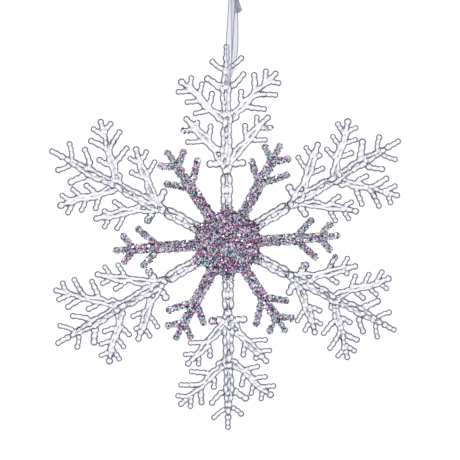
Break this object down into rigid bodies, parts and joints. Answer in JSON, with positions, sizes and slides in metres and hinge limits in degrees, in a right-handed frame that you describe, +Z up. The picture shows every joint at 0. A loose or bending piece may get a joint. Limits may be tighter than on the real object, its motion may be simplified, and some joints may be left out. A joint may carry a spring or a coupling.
{
  "type": "hanging snowflake ornament",
  "caption": "Clear moulded snowflake with beaded branching arms and a glittered hub and short arms, hung by a sheer ribbon through an eye in its top arm.",
  "frame": {"origin": "inside top of the ribbon's loop, where it rests on a hook", "axes": "+Z up, front towards -Y with the glitter on it, +X to the right seen from the front"},
  "size_m": [0.1444, 0.0074, 0.2145],
  "materials": {
    "clear_plastic": "crystal clear moulded polystyrene, polished tool finish, rounded beads",
    "glitter": "cut polyester film flakes in violet, pink, mint, silver and dark grey, set in clear adhesive",
    "ribbon": "sheer woven organza, pale grey-lilac, with a closed edge"
  },
  "bodies": {
    "hanger": {"ribbon_loop": "ribbon"},
    "ribbon": {"ribbon_knot": "ribbon", "ribbon_tail_front": "ribbon", "ribbon_tail_back": "ribbon", "ribbon_strand_front": "ribbon", "ribbon_strand_back": "ribbon", "ribbon_bight": "ribbon"},
    "snowflake": {"hub": "clear_plastic", "long_arm_1": "clear_plastic", "long_arm_2": "clear_plastic", "long_arm_3": "clear_plastic", "long_arm_4": "clear_plastic", "long_arm_5": "clear_plastic", "long_arm_6": "clear_plastic", "short_arm_1": "clear_plastic", "short_arm_2": "clear_plastic", "short_arm_3": "clear_plastic", "short_arm_4": "clear_plastic", "short_arm_5": "clear_plastic", "short_arm_6": "clear_plastic", "glitter_coat_arm_1": "glitter", "glitter_coat_arm_2": "glitter", "glitter_coat_arm_3": "glitter", "glitter_coat_arm_4": "glitter", "glitter_coat_arm_5": "glitter", "glitter_coat_arm_6": "glitter", "glitter_coat_hub": "glitter"}
  },
  "joints": [
    {"name": "ribbon_twist", "type": "hinge", "parent": "hanger", "child": "ribbon", "pos_m": [0, 0, -0.027], "axis": [0, 0, 1], "range_deg": [-180, 180]},
    {"name": "snowflake_swing", "type": "hinge", "parent": "ribbon", "child": "snowflake", "pos_m": [-0.0032, 0, -0.0663], "axis": [0, 1, 0], "range_deg": [-30, 30]}
  ]
}
